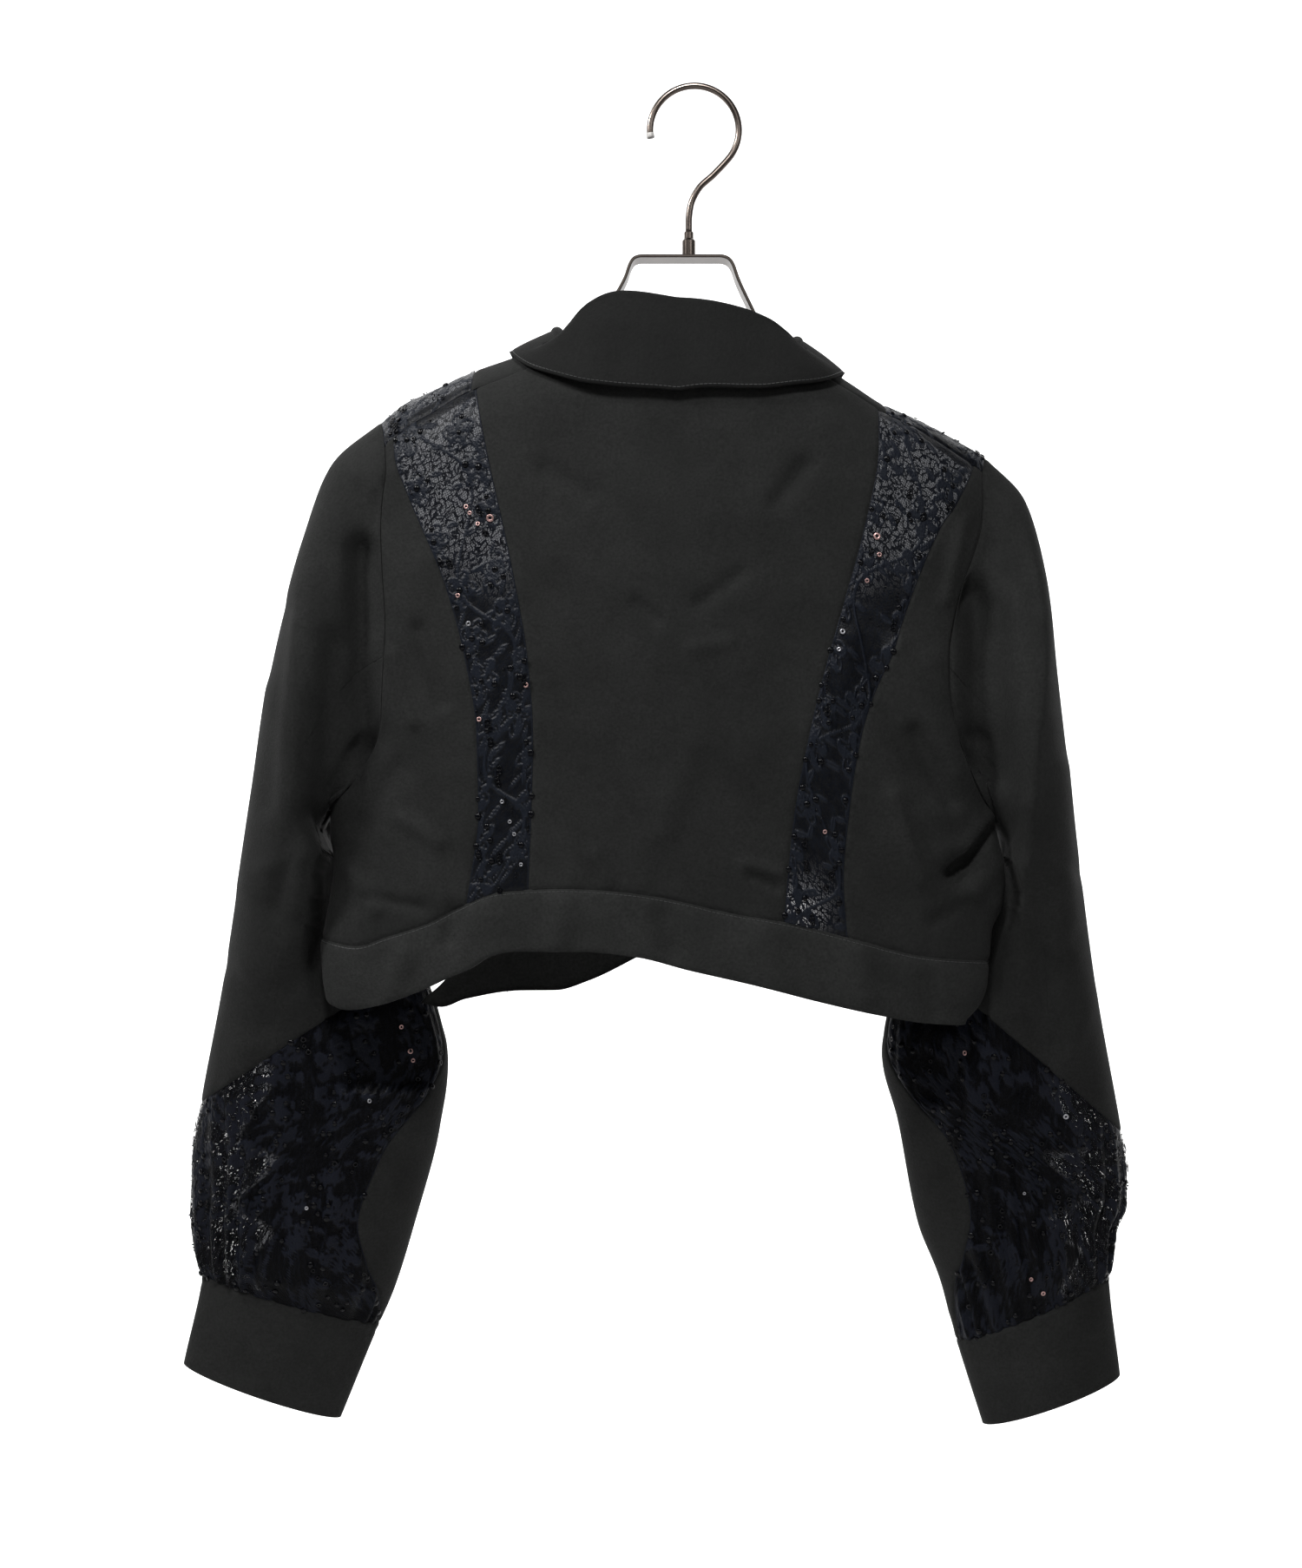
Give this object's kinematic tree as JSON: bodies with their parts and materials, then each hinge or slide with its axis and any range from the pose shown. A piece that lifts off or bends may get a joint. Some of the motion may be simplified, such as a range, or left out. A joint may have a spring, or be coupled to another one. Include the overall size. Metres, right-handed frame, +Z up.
{
  "type": "blouson on a hanger",
  "caption": "Cropped black jacket with a round collar, curved lace inserts, long sleeves gathered into cuffs and a hem band, hanging on a metal clothes hanger.",
  "frame": {"origin": "inside top of the hanger's hook, where a rail or wall hook carries it", "axes": "+Z up, +Y out of the garment's front, +X towards the wearer's right"},
  "size_m": [0.6101, 0.1542, 0.8501],
  "materials": {
    "cloth": "matte charcoal-black plain weave",
    "lace": "navy-black corded lace on fine net",
    "metal": "polished nickel",
    "trim": "glossy"
  },
  "bodies": {
    "root": {"back_side_left": "cloth", "back_lace_left": "lace", "back_centre": "cloth", "back_lace_right": "lace", "back_side_right": "cloth", "hem_band_back": "cloth", "front_lace_left": "lace", "front_side_left": "cloth", "front_left": "cloth", "hem_band_front_left": "cloth", "front_lace_right": "lace", "front_side_right": "cloth", "front_right": "cloth", "hem_band_front_right": "cloth", "front_band": "cloth", "sleeve_top_left": "cloth", "sleeve_under_left": "cloth", "sleeve_lace_left": "lace", "forearm_left": "cloth", "cuff_left": "cloth", "sleeve_top_right": "cloth", "sleeve_under_right": "cloth", "sleeve_lace_right": "lace", "forearm_right": "cloth", "cuff_right": "cloth", "collar": "cloth", "hanger_hook": "metal", "hanger_ferrule": "metal", "hanger_frame": "metal", "button_1": "trim", "button_2": "trim", "button_3": "trim"}
  },
  "joints": []
}
